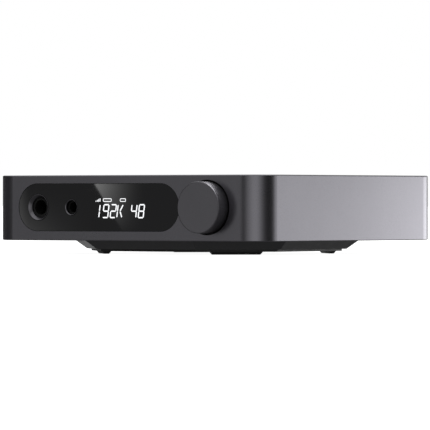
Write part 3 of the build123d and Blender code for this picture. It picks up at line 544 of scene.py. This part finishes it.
# ------------------------------------------------------------------ the knob
KNURLS = 120
KNURL_DEPTH = 0.07 * MM
KNOB_EDGE = 0.42 * MM
FRONT_BAND, BACK_BAND = 0.95 * MM, 1.55 * MM
KNOB_FLOOR = 2.4 * MM
RIM_WALL = 2.2 * MM
HUB_BORE, HUB_RADIUS = 3.0 * MM, 5.0 * MM


def knob():
    """Turned knob: knurled grip between plain bands, eased front edge, hollow back with a hub."""
    front, back = KNOB_LOW.y, KNOB_HIGH.y
    radius = KNOB_RADIUS
    profile = [
        (HUB_BORE, front + 2.0 * MM),
        (HUB_BORE, back),
        (HUB_RADIUS, back),
        (HUB_RADIUS, front + KNOB_FLOOR),
        (radius - RIM_WALL, front + KNOB_FLOOR),
        (radius - RIM_WALL, back),
        (radius - 0.2 * MM, back),
        (radius, back - 0.2 * MM),
        (radius, back - BACK_BAND + 0.05 * MM),
        (radius, back - BACK_BAND),
        (radius, front + FRONT_BAND),
        (radius, front + FRONT_BAND - 0.05 * MM),
        (radius, front + KNOB_EDGE),
        (radius - 0.07 * MM, front + 0.22 * MM),
        (radius - 0.20 * MM, front + 0.07 * MM),
        (radius - KNOB_EDGE, front),
        (radius - KNOB_EDGE - 0.06 * MM, front),
        (radius * 0.5, front),
        (0.6 * MM, front),
    ]
    piece = turned(KNOB_X, AXIS_Z, profile, sides=2 * KNURLS)
    bpy.ops.object.mode_set(mode="EDIT")

    def in_groove(vert):
        x, z = vert.co.x - KNOB_X, vert.co.z - AXIS_Z
        turn = atan2(z, x) / (2 * pi) * 2 * KNURLS
        grip = front + FRONT_BAND - 0.03 * MM < vert.co.y < back - BACK_BAND + 0.03 * MM
        return grip and sqrt(x * x + z * z) > radius - 0.1 * MM and round(turn) % 2 == 0

    choose(piece, "VERT", in_groove)
    scale = 1 - KNURL_DEPTH / radius
    bpy.ops.transform.resize(value=(scale, 1, scale), center_override=(KNOB_X, front, AXIS_Z))
    bpy.ops.object.mode_set(mode="OBJECT")
    return hand_over(piece, "knob_cap", KNOB_METAL, body="knob_turn", angle=24,
                     replaces=["volume_knob"])


# ------------------------------------------------------------------ the window
def window():
    """Stadium pane with eased edges and a hole for each jack's ring."""
    piece = cuboid(PANE_LOW, PANE_HIGH)
    bpy.ops.object.mode_set(mode="EDIT")
    choose(piece, "EDGE", lambda edge: along(edge, 1))
    height = PANE_HIGH.z - PANE_LOW.z
    bpy.ops.mesh.bevel(offset=height / 2 * 0.9999, segments=28, affect="EDGES")
    bpy.ops.mesh.select_all(action="SELECT")
    bpy.ops.mesh.remove_doubles(threshold=0.004 * MM)
    bpy.ops.object.mode_set(mode="OBJECT")
    for node in ("jack_635_collar", "jack_44_collar"):
        low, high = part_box(node)
        hole = (high.x - low.x) / 2 + 0.05 * MM
        drill(piece, (low.x + high.x) / 2, AXIS_Z, hole, PANE_LOW.y - MM, PANE_HIGH.y + MM)
    ease_edges(piece, 0.12 * MM, 2, 40)
    return hand_over(piece, "window_pane", WINDOW_BLACK, angle=12,
                     replaces=["front_window"])


def jack_ring(node, mouth, flare):
    """Anodised ring: a narrow front lip and a flare that runs in to a straight mouth."""
    low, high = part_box(node)
    x = (low.x + high.x) / 2
    outer = (high.x - low.x) / 2
    front, back = low.y, high.y
    profile = [
        (outer, back),
        (outer, front + 0.10 * MM),
        (outer - 0.03 * MM, front + 0.03 * MM),
        (outer - 0.10 * MM, front),
        (mouth + flare + 0.05 * MM, front),
        (mouth + flare, front + 0.03 * MM),
        (mouth + 0.06 * MM, front + flare),
        (mouth, front + flare + 0.1 * MM),
        (mouth, back),
        (outer, back),
    ]
    piece = turned(x, AXIS_Z, profile)
    name = node.replace("_collar", "_ring")
    return hand_over(piece, name, RING_METAL, replaces=[node])


# ------------------------------------------------------------------ the read-out
STROKE = 0.56 * MM
DIGIT_WIDTH = 2.75 * MM
DIGIT_LOW = SHELL_LOW.z + 10.05 * MM
DIGIT_HEIGHT = 5.55 * MM
SLANT = 0.14
READ_OUT_Y = PANE_LOW.y - 0.02 * MM

# Strokes on a grid two wide and four tall, from the lower left corner
GLYPHS = {
    "1": ["20-22", "22-24"],
    "2": ["04-24", "24-22", "22-02", "02-00", "00-20"],
    "4": ["04-02", "02-22", "24-22", "22-20"],
    "8": ["04-24", "24-22", "22-20", "20-00", "00-02", "02-04", "02-22"],
    "9": ["24-04", "04-02", "02-22", "24-22", "22-20", "20-00"],
    "K": ["04-02", "02-00", "12-24", "12-20"],
}


def stroke(start, end, width):
    """A lit bar with pointed ends, from one point of the read-out to another."""
    length = (end - start).length
    deselect()
    bpy.ops.mesh.primitive_cube_add(size=1)
    piece = bpy.context.object
    piece.scale = (length, 0.04 * MM, width)
    bpy.ops.object.transform_apply(scale=True)
    bpy.ops.object.mode_set(mode="EDIT")
    choose(piece, "EDGE", lambda edge: along(edge, 1))
    bpy.ops.mesh.bevel(offset=width * 0.42, segments=1, affect="EDGES")
    bpy.ops.object.mode_set(mode="OBJECT")
    way = end - start
    piece.rotation_euler = (0, -atan2(way.z, way.x), 0)
    piece.location = (start + end) / 2
    bpy.ops.object.transform_apply(location=True, rotation=True)
    return piece


def grid_point(left, mark):
    column, row = int(mark[0]), int(mark[1])
    height = DIGIT_HEIGHT * row / 4
    x = left + DIGIT_WIDTH * column / 2 + height * SLANT
    return Vector((x, READ_OUT_Y, DIGIT_LOW + height))


def read_out():
    """The numbers, each made of separate lit bars."""
    places = {"1": -16.4, "9": -11.5, "2": -7.45, "K": -3.75, "4": 3.85, "8": 7.9}
    bars = []
    for glyph, left in places.items():
        for pair in GLYPHS[glyph]:
            first, second = (grid_point(left * MM, mark) for mark in pair.split("-"))
            gap = (second - first).normalized() * STROKE * 0.16
            bars.append(stroke(first + gap, second - gap, STROKE))
    return hand_over(merge(bars), "read_out_digits", LIT)


def status_marks():
    """Small generic marks above the numbers: a row of level bars and two rounded tags."""
    base = SHELL_LOW.z + 16.85 * MM
    pieces = []
    for i in range(4):
        x = (-15.2 + 0.75 * i) * MM
        foot = Vector((x, READ_OUT_Y, base))
        pieces.append(stroke(foot, foot + Vector((0, 0, (0.55 + 0.33 * i) * MM)), 0.42 * MM))
    for left, right in ((-11.3, -6.6), (-2.0, 1.2)):
        low = (left * MM, READ_OUT_Y - 0.02 * MM, base)
        high = (right * MM, READ_OUT_Y + 0.02 * MM, base + 1.5 * MM)
        tag = cuboid(low, high)
        bpy.ops.object.mode_set(mode="EDIT")
        choose(tag, "EDGE", lambda edge: along(edge, 1))
        bpy.ops.mesh.bevel(offset=0.5 * MM, segments=5, affect="EDGES")
        choose(tag, "FACE", lambda face: abs(face.normal.y) > 0.9)
        bpy.ops.mesh.inset(thickness=0.3 * MM)
        bpy.ops.mesh.delete(type="FACE")
        choose(tag, "EDGE", lambda edge: edge.is_boundary)
        bpy.ops.mesh.bridge_edge_loops()
        bpy.ops.mesh.select_all(action="SELECT")
        bpy.ops.mesh.normals_make_consistent(inside=False)
        bpy.ops.object.mode_set(mode="OBJECT")
        pieces.append(tag)
    return hand_over(merge(pieces), "status_marks", LIT)


# ------------------------------------------------------------------ feet
FOOT_LENGTH, FOOT_WIDTH, FOOT_SLOPE = 23.0 * MM, 4.1 * MM, 1.0 * MM


def foot_strips():
    """Four rubber strips with sloping sides and rounded edges, one at each corner cut."""
    height = FEET_HIGH.z - FEET_LOW.z
    reach = FEET_HIGH - Vector((0, BODY_Y, 0))
    length, width, bevel = FOOT_LENGTH, FOOT_WIDTH, FOOT_SLOPE
    half = (length + width) / 2 / sqrt(2)
    pieces = []
    for sx in (-1, 1):
        for sy in (-1, 1):
            strip = cuboid((-length / 2, -width / 2, 0), (length / 2, width / 2, height))
            bpy.ops.object.mode_set(mode="EDIT")
            choose(strip, "FACE", lambda face: face.normal.z < -0.9)
            shrink = ((length - 2 * bevel) / length, (width - 2 * bevel) / width, 1)
            bpy.ops.transform.resize(value=shrink, center_override=(0, 0, 0))
            bpy.ops.object.mode_set(mode="OBJECT")
            ease_edges(strip, 0.18 * MM, 3, 20)
            strip.rotation_euler = (0, 0, radians(-45 * sx * sy))
            strip.location = (sx * (reach.x - half), BODY_Y + sy * (reach.y - half), 0)
            only(strip)
            bpy.ops.object.transform_apply(location=True, rotation=True)
            pieces.append(strip)
    return hand_over(merge(pieces), "foot_strips", FOOT_RUBBER,
                     replaces=["feet"])


# ------------------------------------------------------------------ the round sockets behind
def node_solids(name):
    """Lowest and highest corners of each separate solid of a node, ordered along X."""
    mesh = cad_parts[name].data
    parent = list(range(len(mesh.vertices)))
    spots = {}
    for vert in mesh.vertices:
        spots.setdefault(tuple(round(c, 7) for c in vert.co), []).append(vert.index)

    def root(i):
        while parent[i] != i:
            parent[i] = parent[parent[i]]
            i = parent[i]
        return i

    for same in spots.values():
        for i in same[1:]:
            parent[root(i)] = root(same[0])
    for edge in mesh.edges:
        parent[root(edge.vertices[0])] = root(edge.vertices[1])
    boxes = {}
    for vert in mesh.vertices:
        low, high = boxes.setdefault(root(vert.index), (vert.co.copy(), vert.co.copy()))
        for i in range(3):
            low[i] = min(low[i], vert.co[i])
            high[i] = max(high[i], vert.co[i])
    return sorted(boxes.values(), key=lambda box: box[0].x)


SLEEVE_RADIUS, SLEEVE_BORE = 4.15 * MM, 3.3 * MM


def rca_sleeves():
    """Gold-plated sleeves: collar, waist, sleeve with a rolled mouth."""
    pieces = []
    for low, high in node_solids("rca_barrels"):
        x, z = (low.x + high.x) / 2, (low.z + high.z) / 2
        collar = (high.x - low.x) / 2
        outer, inner = SLEEVE_RADIUS, SLEEVE_BORE
        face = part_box("rear_panel")[1].y
        end = high.y
        profile = [
            (inner, low.y),
            (outer, low.y),
            (outer, face),
            (collar - 0.15 * MM, face),
            (collar, face + 0.15 * MM),
            (collar, face + 0.62 * MM),
            (collar - 0.18 * MM, face + 0.8 * MM),
            (outer + 0.05 * MM, face + 0.8 * MM),
            (outer, face + 0.86 * MM),
            (outer, face + 1.6 * MM),
            (outer - 0.16 * MM, face + 1.7 * MM),
            (outer - 0.16 * MM, face + 2.0 * MM),
            (outer, face + 2.1 * MM),
            (outer, end - 0.5 * MM),
            (outer - 0.10 * MM, end - 0.16 * MM),
            (outer - 0.36 * MM, end),
            (inner + 0.12 * MM, end - 0.08 * MM),
            (inner, end - 0.3 * MM),
            (inner, low.y),
        ]
        pieces.append(turned(x, z, profile))
    return hand_over(merge(pieces), "rca_sleeves", GOLD,
                     replaces=["rca_barrels"])


finish_nodes()
knob()
window()
jack_ring("jack_635_collar", 4.3 * MM, 1.15 * MM)
jack_ring("jack_44_collar", 2.95 * MM, 0.3 * MM)
read_out()
status_marks()
foot_strips()
rca_sleeves()


# ------------------------------------------------------------------ camera
VIEW_TURN = radians(36.87)
VIEW_DISTANCE = 2.055
LENS_HEIGHT = 17.14 * MM + SHELL_LOW.z
SIDE_STEP = -0.46 * MM
SENSOR, LENS = 36.0, 388.8
LENS_SHIFT = -0.03221


def camera():
    data = bpy.data.cameras.new("camera")
    data.sensor_width = SENSOR
    data.lens = LENS
    data.shift_y = LENS_SHIFT
    data.clip_start, data.clip_end = 0.05, 50
    piece = bpy.data.objects.new("camera", data)
    bpy.context.scene.collection.objects.link(piece)
    right = Vector((cos(VIEW_TURN), sin(VIEW_TURN), 0))
    back = Vector((sin(VIEW_TURN), -cos(VIEW_TURN), 0))
    piece.location = Vector((0, BODY_Y, LENS_HEIGHT)) + back * VIEW_DISTANCE + right * SIDE_STEP
    piece.rotation_euler = (pi / 2, 0, VIEW_TURN)
    bpy.context.scene.camera = piece
    return piece


# ------------------------------------------------------------------ studio
# Light round the unit at table height: degrees from the front towards +X, and its level
LIGHT_ROUND = [
    (-180, 0.8), (-162, 0.5), (-150, 0.03), (-60, 0.03), (-44, 0.03), (-39, 0.365),
    (-27, 0.36), (-22, 0.05), (-9, 0.05), (2, 0.30), (18, 0.55), (32, 0.70),
    (48, 0.66), (62, 0.34), (76, 0.06), (90, 0.004),
    (117, 0.01), (129, 0.56), (139, 1.27), (148, 1.24), (165, 0.95), (180, 0.8),
]
OVERHEAD, FROM_BELOW, FROM_BEHIND, EVERYWHERE = 0.85, 0.09, 0.8, 0.03


def smooth(graph, value, low, high):
    """0 below low, 1 above high, eased between them."""
    sockets = {0: value, 1: low, 2: high}
    return graph.add("ShaderNodeMapRange", {"interpolation_type": "SMOOTHSTEP"}, sockets)


def surroundings():
    """White to the camera. Everything else is lit by soft panels round the unit and above it."""
    world = bpy.data.worlds.new("studio")
    bpy.context.scene.world = world
    world.use_nodes = True
    world.node_tree.nodes.clear()
    graph = Graph(world.node_tree)
    way = graph.add("ShaderNodeTexCoord", output="Generated")
    x, y, z = (graph.axis(way, letter) for letter in "XYZ")
    turn = graph.add("ShaderNodeMath", {"operation": "ARCTAN2"}, {0: x, 1: -y})
    stops = [(degree / 360 + 0.5, (level, level, level)) for degree, level in LIGHT_ROUND]
    ring = graph.ramp(turn / (2 * pi) + 0.5, stops) * (1 - smooth(graph, z.absolute(), 0.25, 0.55))
    above = smooth(graph, z, 0.30, 0.85) * OVERHEAD
    below = smooth(graph, -z, 0.25, 0.5) * FROM_BELOW
    rear_left = smooth(graph, -x * 0.7 + y * 0.7, 0.6, 0.9)
    low = smooth(graph, -z, 0.05, 0.12) * (1 - smooth(graph, -z, 0.3, 0.45))
    behind = rear_left * low * FROM_BEHIND
    seen = graph.add("ShaderNodeLightPath", output="Is Camera Ray")
    level = (ring + above + behind + below + EVERYWHERE) * (1 - seen) + seen
    sky = graph.add("ShaderNodeBackground", None, {"Color": (1, 1, 1, 1), "Strength": level})
    graph.add("ShaderNodeOutputWorld", None, {"Surface": sky}, output=None)


def glow(name, level):
    """Material of a clear sheet that glows. level is a function of its graph."""
    material = bpy.data.materials.new(name)
    material.use_nodes = True
    tree = material.node_tree
    tree.nodes.clear()
    graph = Graph(tree)
    light = graph.add("ShaderNodeEmission", None, {"Color": (1, 1, 1, 1), "Strength": level(graph)})
    clear = graph.add("ShaderNodeBsdfTransparent")
    both = graph.add("ShaderNodeAddShader", None, {0: light, 1: clear})
    graph.add("ShaderNodeOutputMaterial", None, {"Surface": both}, output=None)
    return material


def light_card(name, corners, level, lit=()):
    """Flat four-cornered card, unseen by the camera, that lights only the pieces named, or all."""
    deselect()
    bpy.ops.mesh.primitive_plane_add(size=1)
    piece = bpy.context.object
    for vert, corner in zip(piece.data.vertices, (corners[0], corners[1], corners[3], corners[2])):
        vert.co = corner
    piece.name = name
    piece.data.materials.append(glow(name, level))
    piece.visible_camera = False
    piece.visible_shadow = False
    if lit:
        group = bpy.data.collections.new(name)
        for lit_piece in lit:
            group.objects.link(lit_piece)
        piece.light_linking.receiver_collection = group
    return piece


def mirrored(x, z, plane_y, reach):
    """Where the camera's line of sight, mirrored in the window, is after a distance from it."""
    eye = bpy.context.scene.camera.location
    point = Vector((x, plane_y, z))
    way = (point - eye).normalized()
    way.y = -way.y
    return point + way * reach


def glare_card(name, low_left, high_left, right, reach, level):
    """Glowing sheet that shows in the window between given places along X.

    level is a function of the millimetres along the sheet and down it, from its upper left corner.
    """
    y, low, high = PANE_LOW.y, PANE_LOW.z, PANE_HIGH.z
    corners = [
        mirrored(low_left, low, y, reach), mirrored(right, low, y, reach),
        mirrored(right, high, y, reach), mirrored(high_left, high, y, reach),
    ]
    across = (corners[1] - corners[0]).normalized()
    start = corners[3]

    def fade(g):
        place = g.place()
        run = (g.axis(place, "X") - start.x) * across.x + (g.axis(place, "Y") - start.y) * across.y
        drop = start.z - g.axis(place, "Z")
        return level(run / MM, drop / MM)

    light_card(name, corners, fade, [bpy.data.objects["window_pane"]])


def window_glare():
    """Two reflections: a slanted panel at the read-out, and a soft light at the left end."""

    def slanted(run, drop):
        return (1 - run / 31).at_least(0) ** 2.1 * (1 - drop / 24).at_least(0) ** 0.7 * 5.2

    def left_end(run, drop):
        low = (drop / 23).at_most(1) ** 2.0 * (1 - run / 60).at_least(0) ** 3.0 * 1.3
        side = (1 - run / 6).at_least(0) ** 1.5 * 0.9
        return low + side

    glare_card("glare_card", -0.5 * MM, -16.2 * MM, 24 * MM, 0.22, slanted)
    glare_card("end_card", PANE_LOW.x, PANE_LOW.x, -18 * MM, 0.20, left_end)


def side_card():
    """Card beyond the rear right corner: it brightens the side's rear part, but not the top."""
    reach, width = 0.3, 0.2
    start = Vector((SHELL_HIGH.x, BODY_Y, 0)) + Vector((0.6, 0.8, 0)) * reach
    across = Vector((-0.8, 0.6, 0))
    deep, tall = Vector((0, 0, -0.15)), Vector((0, 0, 0.046))
    far = start + across * width
    corners = [start + deep, far + deep, far + tall, start + tall]

    def level(g):
        place = g.place()
        run = (g.axis(place, "X") - start.x) * across.x + (g.axis(place, "Y") - start.y) * across.y
        return ((run / (39 * MM)) ** 1.3 * 1.15).at_most(2.6)

    light_card("side_card", corners, level)


ABOVE = Vector((0.10, 0.56, 0.82)).normalized()


def knob_card():
    """Soft round panel above and behind, which lights only the knob."""
    across = ABOVE.cross(Vector((0, 0, 1))).normalized() * 0.13
    tall = across.cross(ABOVE)
    centre = Vector((KNOB_X, KNOB_LOW.y, AXIS_Z)) + ABOVE * 0.3
    low, high = centre - tall, centre + tall
    corners = [low - across, low + across, high + across, high - across]

    def level(g):
        sockets = {0: g.place(), 1: centre}
        reach = g.add("ShaderNodeVectorMath", {"operation": "DISTANCE"}, sockets, output="Value")
        return (1 - smooth(g, reach, 0.07, 0.13)) * 4.2

    light_card("knob_card", corners, level, [bpy.data.objects["knob_cap"]])


def studio():
    bpy.context.scene.view_settings.view_transform = "Standard"
    surroundings()
    deselect()
    bpy.ops.mesh.primitive_plane_add(size=30, location=(0, 0, -0.0001))
    floor = bpy.context.object
    floor.name = "floor"
    lit = {"Emission Color": (1, 1, 1), "Emission Strength": 0.95}
    floor.data.materials.append(surface("floor_pale", (0.8, 0.8, 0.8), 0.9, **lit))
    floor.visible_glossy = False
    floor.visible_diffuse = False
    window_glare()
    side_card()
    knob_card()


camera()
studio()
